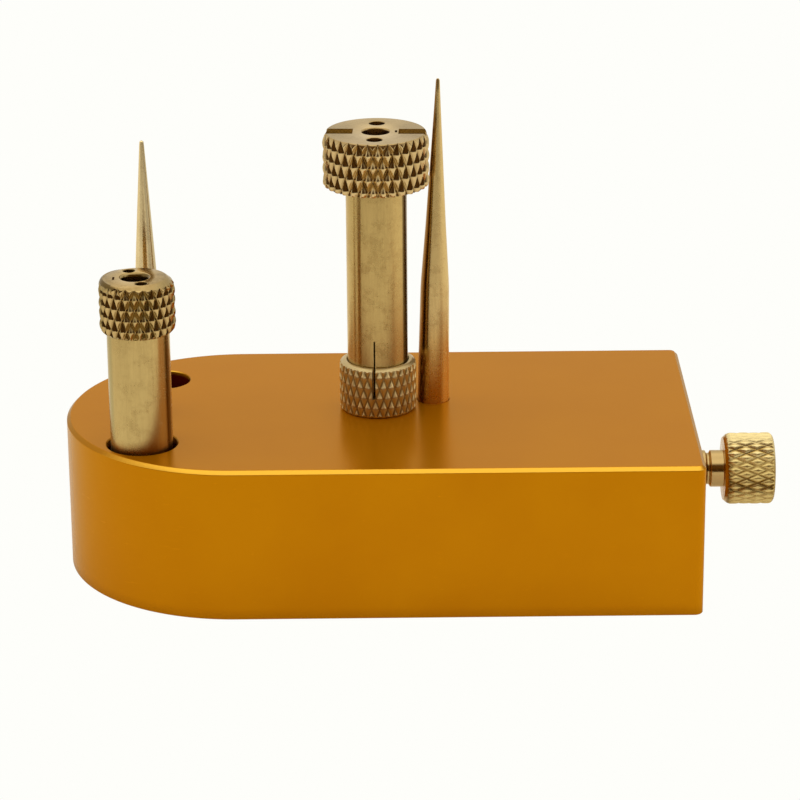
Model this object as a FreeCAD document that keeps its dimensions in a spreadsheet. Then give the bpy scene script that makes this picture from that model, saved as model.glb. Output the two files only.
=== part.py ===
import FreeCAD, Part
import math
import os
import Sketcher
from FreeCAD import Placement, Rotation, Vector

# Watchmaker's balance bench stand: a D-shaped block with two tapered tacks,
# a clamped post with a knurled head, a parked slim post and a thumb screw.
# Frame: origin at the centre of the block's underside, +X towards the
# square end with the screw, +Y to the back, +Z up.  Millimetres.

doc = FreeCAD.newDocument("balance_stand")

# ---------------------------------------------------------------- dimensions
sheet = doc.addObject("Spreadsheet::Sheet", "Dims")
DIMS = [
    # block
    ("block_length", 65.0), ("block_width", 35.7), ("block_height", 16.05),
    ("corner_radius", 0.9), ("top_chamfer", 0.38), ("foot_chamfer", 0.3),
    # front storage hole and the spare one at the back
    ("front_hole_x", -24.19), ("front_hole_y", -9.50), ("front_hole_radius", 3.60),
    ("spare_hole_x", -23.06), ("spare_hole_y", 9.43), ("spare_hole_radius", 2.81),
    ("store_depth", 12.0), ("hole_chamfer", 0.08),
    # tall post, its work bore and its collar
    ("post_x", -0.17), ("post_y", 0.60),
    ("bore_radius", 3.20), ("bore_depth", 11.0),
    ("tube_radius", 3.13), ("tube_inner", 2.0), ("tube_top", 43.28),
    ("slit_width", 0.16), ("collar_slit_width", 0.34), ("slit_turn", 6.3),
    ("slit_top", 24.25),
    ("head_radius", 5.40), ("head_bottom", 40.28), ("head_top", 45.79),
    ("head_face_radius", 5.05), ("head_foot_radius", 5.24),
    ("head_bore", 1.37), ("head_hole", 0.80), ("head_hole_offset", 3.1),
    ("head_hole_depth", 1.8), ("channel_width", 1.86), ("channel_start", 2.33),
    ("channel_depth", 0.5), ("head_turn", -2.4), ("head_nick_x", 2.08),
    ("nick_depth", 0.5), ("cap_nick_depth", 0.3),
    ("collar_radius", 4.0), ("collar_inner", 3.16), ("collar_top", 21.42),
    ("collar_foot", 3.67), ("collar_slit_bottom", 18.2),
    ("collar_mouth", 3.22), ("collar_mouth_depth", 0.4),
    # slim post
    ("slim_x", -24.21), ("slim_y", -9.45),
    ("slim_radius", 3.17), ("slim_inner", 2.0), ("slim_tube_top", 31.23),
    ("cap_radius", 3.85), ("cap_bottom", 28.23), ("cap_top", 33.78),
    ("cap_bore", 1.30), ("cap_shift", 0.18), ("cap_hole", 0.58),
    ("cap_hole_depth", 1.5), ("cap_back_x", -0.867), ("cap_back_y", 2.022),
    ("cap_front_x", 0.614), ("cap_front_y", -2.113),
    ("cap_nick_x", -2.26), ("cap_nick_y", -0.45),
    # tacks
    ("tack_root", 1.65), ("tack_sink", 4.5), ("tack_lean", 1.0),
    ("right_tack_x", 5.60), ("right_tack_y", 2.75), ("right_tack_height", 34.67),
    ("rear_tack_x", -23.90), ("rear_tack_y", 0.0), ("rear_tack_height", 29.2),
    # thumb screw, tapped hole, push pin
    ("screw_y", 0.60), ("screw_z", 8.72),
    ("thread_radius", 1.94), ("tapped_radius", 2.0), ("tapped_depth", 14.0),
    ("screw_tip_x", 20.0), ("screw_head_x", 36.0), ("screw_end_x", 41.23),
    ("screw_head_radius", 3.75),
    ("pin_radius", 1.52), ("pin_bore", 1.60), ("pin_start_x", 2.98),
    ("pin_end_x", 19.98), ("pin_bore_end_x", 2.6),
]
for row, (alias, value) in enumerate(DIMS, start=1):
    sheet.set("A%d" % row, alias)
    sheet.set("B%d" % row, "%g" % value)
    sheet.setAlias("B%d" % row, alias)
doc.recompute()
D = dict(DIMS)


def cell(alias):
    return float(sheet.get(alias))


# ------------------------------------------------------------------- helpers
def plane(body, role):
    for feature in body.Origin.OriginFeatures:
        if feature.Role == role:
            return feature
    raise RuntimeError("no plane " + role)


def new_body(label, base=None, angle=None, axis=None):
    """A body with its own label; base is three expressions for its place."""
    body = doc.addObject("PartDesign::Body", label)
    body.Label = label
    if base:
        for key, text in zip("xyz", base):
            if text:
                body.setExpression("Placement.Base." + key, text)
    if angle:
        body.Placement = Placement(body.Placement.Base, Rotation(Vector(*axis), 1.0))
        body.setExpression("Placement.Rotation.Angle", angle)
    return body


def new_sketch(body, name, role, offset=None):
    """An empty sketch on one of the body's own planes; offset gives the
    attachment offset as ((x, y, z) expressions, angle expression, axis)."""
    sk = body.newObject("Sketcher::SketchObject", name)
    sk.AttachmentSupport = [(plane(body, role), "")]
    sk.MapMode = "FlatFace"
    if offset:
        base, angle, axis = offset
        if angle:
            sk.AttachmentOffset = Placement(Vector(0, 0, 0), Rotation(Vector(*axis), 1.0))
            sk.setExpression("AttachmentOffset.Rotation.Angle", angle)
        for key, text in zip("xyz", base):
            if text:
                sk.setExpression("AttachmentOffset.Base." + key, text)
    return sk


def number(text):
    """The present value of a size expression such as 'Dims.tube_radius - 0.3'."""
    if isinstance(text, (int, float)):
        return float(text)
    return float(sheet_value(text))


def sheet_value(text):
    sheet.set("D1", "=" + text.replace("Dims.", ""))
    sheet.recompute()
    value = sheet.get("D1")
    sheet.set("D1", "")
    return float(getattr(value, "Value", value))


def hold(sk, kind, geo, pos, text):
    """Hold one coordinate of a sketch point at a size expression."""
    value = number(text)
    if abs(value) < 1e-9:
        sk.addConstraint(Sketcher.Constraint(
            "PointOnObject", geo, pos, -2 if kind == "DistanceX" else -1))
        return
    if value > 0:
        index = sk.addConstraint(Sketcher.Constraint(kind, -1, 1, geo, pos, value))
    else:
        index = sk.addConstraint(Sketcher.Constraint(kind, geo, pos, -1, 1, -value))
        text = "-(%s)" % text
    if isinstance(text, str) and "Dims." in text:
        sk.setExpression("Constraints[%d]" % index, text)


def outline(sk, points):
    """A closed outline of straight lines; each point is two expressions."""
    xy = [(number(a), number(b)) for a, b in points]
    n = len(xy)
    for i in range(n):
        p, q = xy[i], xy[(i + 1) % n]
        sk.addGeometry(Part.LineSegment(Vector(p[0], p[1], 0), Vector(q[0], q[1], 0)), False)
    for i in range(n):
        sk.addConstraint(Sketcher.Constraint("Coincident", i, 2, (i + 1) % n, 1))
    for i, (a, b) in enumerate(points):
        hold(sk, "DistanceX", i, 1, a)
        hold(sk, "DistanceY", i, 1, b)


def round_hole(sk, x, y, radius):
    """A circle held at (x, y) with its radius bound to the sheet."""
    geo = sk.addGeometry(Part.Circle(Vector(number(x), number(y), 0), Vector(0, 0, 1),
                                     number(radius)), False)
    index = sk.addConstraint(Sketcher.Constraint("Radius", geo, number(radius)))
    sk.setExpression("Constraints[%d]" % index, radius)
    hold(sk, "DistanceX", geo, 3, x)
    hold(sk, "DistanceY", geo, 3, y)


def revolve(body, name, role, points, about):
    sk = new_sketch(body, name + "_sketch", role)
    outline(sk, points)
    doc.recompute()
    turn = body.newObject("PartDesign::Revolution", name)
    turn.Profile = sk
    turn.ReferenceAxis = (sk, [about])
    turn.Angle = 360.0
    doc.recompute()
    return turn


def pocket(body, name, sk, length, reverse=False):
    """A pocket that must take some metal away, whichever way it points."""
    before = body.Shape.Volume
    cut = body.newObject("PartDesign::Pocket", name)
    cut.Profile = sk
    cut.Type = 0
    cut.Reversed = reverse
    cut.setExpression("Length", length)
    doc.recompute()
    if not body.Shape.Volume < before - 1e-6:
        raise RuntimeError(name + " cuts nothing")
    return cut


def drill(body, name, z, holes, depth, turn=None):
    """Vertical round holes from height z down; holes are (x, y, radius)."""
    sk = new_sketch(body, name + "_sketch", "XY_Plane",
                    ((None, None, z), turn, (0, 0, 1)))
    for x, y, radius in holes:
        round_hole(sk, x, y, radius)
    doc.recompute()
    return pocket(body, name, sk, depth)


def edges_where(shape, test):
    return ["Edge%d" % (i + 1) for i, e in enumerate(shape.Edges) if test(e)]


def chamfer(body, name, names, size):
    base = body.Tip
    cut = body.newObject("PartDesign::Chamfer", name)
    cut.Base = (base, names)
    cut.setExpression("Size", size)
    doc.recompute()
    return cut


# --------------------------------------------------------------- base_block
block = new_body("base_block")
sk = new_sketch(block, "block_outline", "XY_Plane")
hl, hw = cell("block_length") / 2, cell("block_width") / 2
xc = -hl + hw
sk.addGeometry(Part.LineSegment(Vector(xc, -hw, 0), Vector(hl, -hw, 0)), False)
sk.addGeometry(Part.LineSegment(Vector(hl, -hw, 0), Vector(hl, hw, 0)), False)
sk.addGeometry(Part.LineSegment(Vector(hl, hw, 0), Vector(xc, hw, 0)), False)
sk.addGeometry(Part.ArcOfCircle(Part.Circle(Vector(xc, 0, 0), Vector(0, 0, 1), hw),
                                math.pi / 2, 3 * math.pi / 2), False)
for a, b in ((0, 1), (1, 2)):
    sk.addConstraint(Sketcher.Constraint("Coincident", a, 2, b, 1))
for a, b in ((2, 3), (3, 0)):
    sk.addConstraint(Sketcher.Constraint("Tangent", a, 2, b, 1))
sk.addConstraint(Sketcher.Constraint("Horizontal", 0))
sk.addConstraint(Sketcher.Constraint("Vertical", 1))
sk.addConstraint(Sketcher.Constraint("Horizontal", 2))
hold(sk, "DistanceX", 0, 2, "Dims.block_length / 2")
hold(sk, "DistanceY", 0, 2, "-Dims.block_width / 2")
hold(sk, "DistanceY", 1, 2, "Dims.block_width / 2")
hold(sk, "DistanceX", 3, 3, "-Dims.block_length / 2 + Dims.block_width / 2")
doc.recompute()
pad = block.newObject("PartDesign::Pad", "block_pad")
pad.Profile = sk
pad.Type = 0
pad.setExpression("Length", "Dims.block_height")
doc.recompute()

# rounded upright corners of the square end
corners = edges_where(pad.Shape, lambda e: e.Length > 10
                      and abs(e.BoundBox.XMin - hl) < 1e-6 and abs(e.BoundBox.XMax - hl) < 1e-6
                      and abs(e.BoundBox.YMin - e.BoundBox.YMax) < 1e-6)
if len(corners) != 2:
    raise RuntimeError("corner edges: %s" % corners)
fillet = block.newObject("PartDesign::Fillet", "corner_rounds")
fillet.Base = (pad, corners)
fillet.setExpression("Radius", "Dims.corner_radius")
doc.recompute()

top_z = cell("block_height")
rim = edges_where(block.Shape, lambda e: abs(e.BoundBox.ZMin - top_z) < 1e-6)
chamfer(block, "top_edge", rim, "Dims.top_chamfer")
foot = edges_where(block.Shape, lambda e: abs(e.BoundBox.ZMax) < 1e-6)
chamfer(block, "foot_edge", foot, "Dims.foot_chamfer")

# two storage holes and the work bore, all from the top face
drill(block, "front_hole", "Dims.block_height",
      [("Dims.front_hole_x", "Dims.front_hole_y", "Dims.front_hole_radius")], "Dims.store_depth")
drill(block, "spare_hole", "Dims.block_height",
      [("Dims.spare_hole_x", "Dims.spare_hole_y", "Dims.spare_hole_radius")], "Dims.store_depth")
drill(block, "work_bore", "Dims.block_height",
      [("Dims.post_x", "Dims.post_y", "Dims.bore_radius")], "Dims.bore_depth")


def mouth(x, y, r):
    return lambda e: (abs(e.BoundBox.ZMin - top_z) < 1e-6 and abs(e.BoundBox.ZMax - top_z) < 1e-6
                      and isinstance(e.Curve, Part.Circle) and abs(e.Curve.Radius - r) < 1e-6
                      and (e.Curve.Center - Vector(x, y, top_z)).Length < 1e-6)


mouths = []
for who in ("front_hole", "spare_hole"):
    mouths += edges_where(block.Shape, mouth(cell(who + "_x"), cell(who + "_y"), cell(who + "_radius")))
if len(mouths) != 2:
    raise RuntimeError("hole mouths: %s" % mouths)
chamfer(block, "hole_mouths", mouths, "Dims.hole_chamfer")

# holes for the two tacks; the right one is drilled with the tack's lean
drill(block, "rear_tack_hole", "Dims.block_height",
      [("Dims.rear_tack_x", "Dims.rear_tack_y", "Dims.tack_root")], "Dims.tack_sink")
sk = new_sketch(block, "right_tack_hole_sketch", "XY_Plane",
                (("Dims.right_tack_x + 0.2 * sin(Dims.tack_lean)", "Dims.right_tack_y",
                  "Dims.block_height + 0.2 * cos(Dims.tack_lean)"), "Dims.tack_lean", (0, 1, 0)))
round_hole(sk, "0", "0", "Dims.tack_root")
doc.recompute()
pocket(block, "right_tack_hole", sk, "Dims.tack_sink + 0.2")

# tapped hole in the square end (at the thread's full diameter) and, behind
# it, the narrower bore of the push pin, which opens into the work bore
for name, radius, length in (
        ("tapped_hole", "Dims.tapped_radius", "Dims.tapped_depth"),
        ("pin_bore_hole", "Dims.pin_bore", "Dims.block_length / 2 - Dims.pin_bore_end_x")):
    sk = new_sketch(block, name + "_sketch", "YZ_Plane",
                    ((None, None, "Dims.block_length / 2"), None, None))
    round_hole(sk, "Dims.screw_y", "Dims.screw_z", radius)
    doc.recompute()
    pocket(block, name, sk, length)

# ------------------------------------------------------------ tall post
tube = new_body("main_post_tube", ("Dims.post_x", "Dims.post_y", None))
foot_z = "Dims.block_height - Dims.bore_depth"
revolve(tube, "tube_turned", "XZ_Plane", [
    ("Dims.tube_inner", foot_z),
    ("Dims.tube_radius - 0.3", foot_z),
    ("Dims.tube_radius", foot_z + " + 0.3"),
    ("Dims.tube_radius", "Dims.tube_top"),
    ("Dims.tube_inner", "Dims.tube_top"),
], "V_Axis")


def slit(body, name, top, length, outer, width="Dims.slit_width"):
    """A radial saw cut from height top down, a little left of the front."""
    sk = new_sketch(body, name + "_sketch", "XY_Plane",
                    ((None, None, top), "-90 - Dims.slit_turn", (0, 0, 1)))
    outline(sk, [("1.0", "-" + width + " / 2"), (outer, "-" + width + " / 2"),
                 (outer, width + " / 2"), ("1.0", width + " / 2")])
    doc.recompute()
    return pocket(body, name, sk, length)


slit(tube, "tube_slit", "Dims.slit_top", "Dims.slit_top - 4", "Dims.tube_radius + 0.5")

head = new_body("main_post_head", ("Dims.post_x", "Dims.post_y", None))
revolve(head, "head_turned", "XZ_Plane", [
    ("Dims.tube_radius", "Dims.head_bottom"),
    ("Dims.head_foot_radius", "Dims.head_bottom"),
    ("Dims.head_radius", "Dims.head_bottom + 0.24"),
    ("Dims.head_radius", "Dims.head_top - 0.75"),
    ("Dims.head_face_radius", "Dims.head_top"),
    ("Dims.head_bore", "Dims.head_top"),
    ("Dims.head_bore", "Dims.tube_top"),
    ("Dims.tube_radius", "Dims.tube_top"),
], "V_Axis")
drill(head, "head_holes", "Dims.head_top",
      [("0", "Dims.head_hole_offset", "Dims.head_hole"),
       ("0", "-Dims.head_hole_offset", "Dims.head_hole")], "Dims.head_hole_depth", "Dims.head_turn")
sk = new_sketch(head, "head_nick_sketch", "XY_Plane",
                ((None, None, "Dims.head_top"), "Dims.head_turn", (0, 0, 1)))
outline(sk, [("Dims.head_nick_x - 0.12", "-0.38"), ("Dims.head_nick_x + 0.12", "-0.38"),
             ("Dims.head_nick_x + 0.12", "0.38"), ("Dims.head_nick_x - 0.12", "0.38")])
doc.recompute()
pocket(head, "head_nick", sk, "Dims.nick_depth")
for name, side in (("channel_right", ""), ("channel_left", "-")):
    sk = new_sketch(head, name + "_sketch", "XY_Plane",
                    ((None, None, "Dims.head_top"), "Dims.head_turn", (0, 0, 1)))
    near, far = side + "(Dims.channel_start)", side + "(Dims.head_radius + 0.5)"
    outline(sk, [(near, "-Dims.channel_width / 2"), (far, "-Dims.channel_width / 2"),
                 (far, "Dims.channel_width / 2"), (near, "Dims.channel_width / 2")])
    doc.recompute()
    pocket(head, name, sk, "Dims.channel_depth")

collar = new_body("main_post_collar", ("Dims.post_x", "Dims.post_y", None))
revolve(collar, "collar_turned", "XZ_Plane", [
    ("Dims.collar_inner", "Dims.block_height"),
    ("Dims.collar_foot", "Dims.block_height"),
    ("Dims.collar_radius", "Dims.block_height + 0.33"),
    ("Dims.collar_radius", "Dims.collar_top - 0.3"),
    ("Dims.collar_radius - 0.1", "Dims.collar_top - 0.22"),
    ("Dims.collar_mouth", "Dims.collar_top"),
    ("Dims.collar_mouth", "Dims.collar_top - Dims.collar_mouth_depth"),
    ("Dims.collar_inner", "Dims.collar_top - Dims.collar_mouth_depth"),
], "V_Axis")
slit(collar, "collar_slit", "Dims.collar_top", "Dims.collar_top - Dims.collar_slit_bottom",
     "Dims.collar_radius + 0.5", "Dims.collar_slit_width")

# ------------------------------------------------------------ slim post
slim = new_body("slim_post_tube", ("Dims.slim_x", "Dims.slim_y", None))
floor_z = "Dims.block_height - Dims.store_depth"
revolve(slim, "slim_turned", "XZ_Plane", [
    ("Dims.slim_inner", floor_z),
    ("Dims.slim_radius - 0.3", floor_z),
    ("Dims.slim_radius", floor_z + " + 0.3"),
    ("Dims.slim_radius", "Dims.slim_tube_top"),
    ("Dims.slim_inner", "Dims.slim_tube_top"),
], "V_Axis")

cap = new_body("slim_post_cap", ("Dims.slim_x", "Dims.slim_y", None))
revolve(cap, "cap_turned", "XZ_Plane", [
    ("Dims.slim_radius", "Dims.cap_bottom"),
    ("Dims.cap_radius - 0.35", "Dims.cap_bottom"),
    ("Dims.cap_radius", "Dims.cap_bottom + 0.47"),
    ("Dims.cap_radius", "Dims.cap_top - 0.9"),
    ("Dims.cap_radius - 0.25", "Dims.cap_top - 0.35"),
    ("Dims.cap_radius - 0.85", "Dims.cap_top"),
    ("0", "Dims.cap_top"),
    ("0", "Dims.slim_tube_top"),
    ("Dims.slim_radius", "Dims.slim_tube_top"),
], "V_Axis")
drill(cap, "cap_bore_hole", "Dims.cap_top",
      [("-Dims.cap_shift", "0", "Dims.cap_bore")], "Dims.cap_top - Dims.slim_tube_top + 0.5")
drill(cap, "cap_holes", "Dims.cap_top",
      [("Dims.cap_back_x", "Dims.cap_back_y", "Dims.cap_hole"),
       ("Dims.cap_front_x", "Dims.cap_front_y", "Dims.cap_hole")], "Dims.cap_hole_depth")
sk = new_sketch(cap, "cap_nick_sketch", "XY_Plane", ((None, None, "Dims.cap_top"), None, None))
outline(sk, [("Dims.cap_nick_x - 0.11", "Dims.cap_nick_y - 0.45"), ("Dims.cap_nick_x + 0.11", "Dims.cap_nick_y - 0.45"),
             ("Dims.cap_nick_x + 0.11", "Dims.cap_nick_y + 0.45"), ("Dims.cap_nick_x - 0.11", "Dims.cap_nick_y + 0.45")])
doc.recompute()
pocket(cap, "cap_nick", sk, "Dims.cap_nick_depth")

# ---------------------------------------------------------------- tacks
# right tack: own frame has its foot at the block's top face, then leans
right = new_body("right_tack", ("Dims.right_tack_x", "Dims.right_tack_y", "Dims.block_height"),
                 "Dims.tack_lean", (0, 1, 0))
top = "Dims.right_tack_height"
revolve(right, "right_tack_turned", "XZ_Plane", [
    ("0", "-Dims.tack_sink"),
    ("Dims.tack_root", "-Dims.tack_sink"),
    ("Dims.tack_root", "0.4"),
    ("Dims.tack_root - 0.05", "4.45"),
    ("Dims.tack_root - 0.11", "8.45"),
    ("Dims.tack_root - 0.17", "12.3"),
    ("1.43", "13.4"),
    ("1.054", "19.1"),
    ("0.61", "26.95"),
    ("0.37", "31.15"),
    ("0.262", top + " - 1.52"),
    ("0.195", top + " - 0.2"),
    ("0.12", top + " - 0.05"),
    ("0", top),
], "V_Axis")

rear = new_body("rear_tack", ("Dims.rear_tack_x", "Dims.rear_tack_y", "Dims.block_height"))
top = "Dims.rear_tack_height"
revolve(rear, "rear_tack_turned", "XZ_Plane", [
    ("0", "-Dims.tack_sink"),
    ("Dims.tack_root", "-Dims.tack_sink"),
    ("Dims.tack_root", "4.5"),
    ("Dims.tack_root - 0.05", "6.3"),
    ("1.036", "16.1"),
    ("0.76", "20.6"),
    ("0.249", top + " - 0.54"),
    ("0.205", top + " - 0.15"),
    ("0.12", top + " - 0.04"),
    ("0", top),
], "V_Axis")

# ------------------------------------------------ thumb screw and push pin
screw = new_body("thumb_screw", (None, "Dims.screw_y", "Dims.screw_z"))
nose = "Dims.screw_head_x"
revolve(screw, "screw_turned", "XZ_Plane", [
    ("Dims.screw_tip_x", "0"),
    ("Dims.screw_tip_x", "Dims.thread_radius - 0.45"),
    ("Dims.screw_tip_x + 0.45", "Dims.thread_radius"),
    (nose + " - 1.90", "Dims.thread_radius"),
    (nose + " - 1.72", "Dims.thread_radius - 0.28"),
    (nose + " - 1.50", "Dims.thread_radius - 0.28"),
    (nose + " - 1.34", "Dims.thread_radius"),
    (nose, "Dims.thread_radius"),
    (nose, "Dims.screw_head_radius - 0.45"),
    (nose + " + 0.7", "Dims.screw_head_radius"),
    ("Dims.screw_end_x - 0.4", "Dims.screw_head_radius"),
    ("Dims.screw_end_x", "Dims.screw_head_radius - 0.4"),
    ("Dims.screw_end_x", "0"),
], "H_Axis")

pin = new_body("clamp_pin", (None, "Dims.screw_y", "Dims.screw_z"))
revolve(pin, "pin_turned", "XZ_Plane", [
    ("Dims.pin_start_x", "0"),
    ("Dims.pin_start_x", "Dims.pin_radius - 0.4"),
    ("Dims.pin_start_x + 0.4", "Dims.pin_radius"),
    ("Dims.pin_end_x - 0.3", "Dims.pin_radius"),
    ("Dims.pin_end_x", "Dims.pin_radius - 0.3"),
    ("Dims.pin_end_x", "0"),
], "H_Axis")

# ------------------------------------------------------------------- output
doc.recompute()
for obj in doc.Objects:
    if any(word in ("Invalid", "Error") for word in obj.State):
        raise RuntimeError("%s: %s" % (obj.Name, obj.State))

BODIES = [block, tube, head, collar, slim, cap, right, rear, screw, pin]
for body in BODIES:
    shape = body.Shape
    if shape.isNull() or not shape.isValid() or len(shape.Solids) != 1:
        raise RuntimeError("%s: shape null %s, solids %d" % (body.Label, shape.isNull(), len(shape.Solids)))

os.makedirs("parts", exist_ok=True)
for body in BODIES:
    body.Shape.exportStep("parts/%s.step" % body.Label)
    box = body.Shape.BoundBox
    print("%-18s volume %9.2f  x %.2f..%.2f  y %.2f..%.2f  z %.2f..%.2f" % (
        body.Label, body.Shape.Volume, box.XMin, box.XMax, box.YMin, box.YMax, box.ZMin, box.ZMax))
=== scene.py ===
"""A D-shaped gold anodised bench block with brass tacks, two knurled posts, a collar and a thumb screw.

Lengths in the tables below are millimetres in the frame of the CAD model: the origin is the middle of the block's
underside, X runs along the block towards the screw, Y goes back and Z goes up.
"""

import math

import bmesh
import bpy
import numpy as np
from mathutils import Matrix, Vector


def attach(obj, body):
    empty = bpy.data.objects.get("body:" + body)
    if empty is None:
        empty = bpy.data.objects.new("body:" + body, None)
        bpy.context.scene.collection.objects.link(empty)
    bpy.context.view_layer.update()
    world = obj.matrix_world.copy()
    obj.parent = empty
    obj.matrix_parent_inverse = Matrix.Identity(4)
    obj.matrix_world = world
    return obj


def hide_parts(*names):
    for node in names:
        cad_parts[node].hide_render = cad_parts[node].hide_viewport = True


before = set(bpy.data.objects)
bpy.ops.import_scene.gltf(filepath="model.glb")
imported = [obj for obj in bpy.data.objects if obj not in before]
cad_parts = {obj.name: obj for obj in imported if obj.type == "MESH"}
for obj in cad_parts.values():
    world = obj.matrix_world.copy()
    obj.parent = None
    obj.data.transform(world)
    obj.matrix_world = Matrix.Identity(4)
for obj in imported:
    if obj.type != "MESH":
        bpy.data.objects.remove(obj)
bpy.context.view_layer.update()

MM = 0.001
TAU = 2 * math.pi


# ---------------------------------------------------------------- mesh tools

def make_piece(name, verts, faces, body, node, material, sharp=35.0):
    """One mesh object in metres that stands for a CAD node and rides on its body."""
    mesh = bpy.data.meshes.new(name)
    mesh.from_pydata([tuple(float(c) * MM for c in v) for v in verts], [], [tuple(int(i) for i in f) for f in faces])
    mesh.validate()
    obj = bpy.data.objects.new(name, mesh)
    bpy.context.scene.collection.objects.link(obj)
    mesh.materials.append(material)
    mesh.polygons.foreach_set("use_smooth", [True] * len(mesh.polygons))
    mesh.set_sharp_from_angle(angle=math.radians(sharp))
    mesh.update()
    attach(obj, body)
    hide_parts(node)
    return obj


def cutter(name, verts, faces):
    mesh = bpy.data.meshes.new(name)
    mesh.from_pydata([tuple(float(c) * MM for c in v) for v in verts], [], [tuple(int(i) for i in f) for f in faces])
    obj = bpy.data.objects.new(name, mesh)
    bpy.context.scene.collection.objects.link(obj)
    mesh.polygons.foreach_set("use_smooth", [True] * len(mesh.polygons))
    return obj


def carve(obj, cutters, sharp=35.0, weighted=True):
    """Cuts the cutters out of obj and leaves a plain mesh."""
    for c in cutters:
        m = obj.modifiers.new("cut", "BOOLEAN")
        m.operation = "DIFFERENCE"
        m.solver = "EXACT"
        m.object = c
    bpy.context.view_layer.update()
    deps = bpy.context.evaluated_depsgraph_get()
    new = bpy.data.meshes.new_from_object(obj.evaluated_get(deps))
    obj.modifiers.clear()
    old = obj.data
    obj.data = new
    new.name = obj.name
    bpy.data.meshes.remove(old)
    for c in cutters:
        data = c.data
        bpy.data.objects.remove(c)
        bpy.data.meshes.remove(data)
    bm = bmesh.new()
    bm.from_mesh(new)
    bmesh.ops.remove_doubles(bm, verts=bm.verts, dist=1e-8)
    bmesh.ops.dissolve_degenerate(bm, edges=bm.edges, dist=1e-8)
    bm.to_mesh(new)
    bm.free()
    new.set_sharp_from_angle(angle=math.radians(sharp))
    if weighted:
        harden(obj)
    return obj


def harden(obj):
    """Keeps flat faces flat in shading where a small rounded edge meets them."""
    m = obj.modifiers.new("harden", "WEIGHTED_NORMAL")
    m.keep_sharp = True
    m.weight = 100
    bpy.context.view_layer.update()
    deps = bpy.context.evaluated_depsgraph_get()
    new = bpy.data.meshes.new_from_object(obj.evaluated_get(deps))
    obj.modifiers.clear()
    old = obj.data
    obj.data = new
    new.name = obj.name
    bpy.data.meshes.remove(old)


def round_corners(points, radius, steps=3):
    """The open or closed 2-D polyline with every inner corner rounded."""
    out = [points[0]]
    for i in range(1, len(points) - 1):
        a, b, c = (np.array(points[k], float) for k in (i - 1, i, i + 1))
        la, lc = np.linalg.norm(a - b), np.linalg.norm(c - b)
        r = min(radius, 0.45 * la, 0.45 * lc)
        if r < 1e-4:
            out.append(tuple(b))
            continue
        p, q = b + (a - b) / la * r, b + (c - b) / lc * r
        for k in range(steps + 1):
            t = k / steps
            out.append(tuple((1 - t) ** 2 * p + 2 * t * (1 - t) * b + t * t * q))
    out.append(points[-1])
    return out


def lathe(loop, n, phase=0.0, closed=True):
    """Turns a (radius, height) profile about Z. A closed profile makes a ring; an open one starts and ends on the axis."""
    verts, faces, rows = [], [], []
    for r, z in loop:
        if r < 1e-9:
            rows.append([len(verts)] * n)
            verts.append((0.0, 0.0, z))
        else:
            start = len(verts)
            for i in range(n):
                t = phase + TAU * i / n
                verts.append((r * math.cos(t), r * math.sin(t), z))
            rows.append(list(range(start, start + n)))
    count = len(rows)
    for j in range(count if closed else count - 1):
        a, b = rows[j], rows[(j + 1) % count]
        for i in range(n):
            k = (i + 1) % n
            f = [a[i], a[k], b[k], b[i]]
            g = []
            for x in f:
                if x not in g:
                    g.append(x)
            if len(g) > 2:
                faces.append(tuple(g))
    return verts, faces


def shifted(verts, dx=0.0, dy=0.0, dz=0.0):
    return [(x + dx, y + dy, z + dz) for x, y, z in verts]


def outward(verts, faces):
    """Turns all the faces the other way round if the solid's volume is negative."""
    v = np.array(verts, float)
    tri = np.array([(f[0], f[k], f[k + 1]) for f in faces for k in range(1, len(f) - 1)])
    total = np.einsum("ij,ij->i", v[tri[:, 0]], np.cross(v[tri[:, 1]], v[tri[:, 2]])).sum()
    return [tuple(reversed(f)) for f in faces] if total < 0 else list(faces)


# ---------------------------------------------------------------- knurls

def groove_depth(u, w, k):
    """Depth of two crossing families of grooves; u counts teeth round the part and w pairs of rows along it.
    land is the flat share of a crest, crest rounds it, soft rounds the groove's bottom and blend the ridges."""
    d = []
    c = k["crest"]
    for p in (u + w, u - w):
        x = 2 * np.abs(p - np.round(p))
        x = np.clip((x - k["land"]) / (1 - k["land"]), 0, 1)
        x = (np.sqrt(x * x + c * c) - c) / (math.sqrt(1 + c * c) - c)
        if k["soft"]:
            x = np.where(x > 1 - k["soft"], 1 - k["soft"] / 2 - (1 - x) ** 2 / (2 * k["soft"]), x)
        d.append(x)
    near = np.maximum(0.0, k["blend"] - np.abs(d[0] - d[1]))
    return k["deep"] * (np.maximum(d[0], d[1]) + near ** 2 / (4 * max(k["blend"], 1e-6)))


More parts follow.
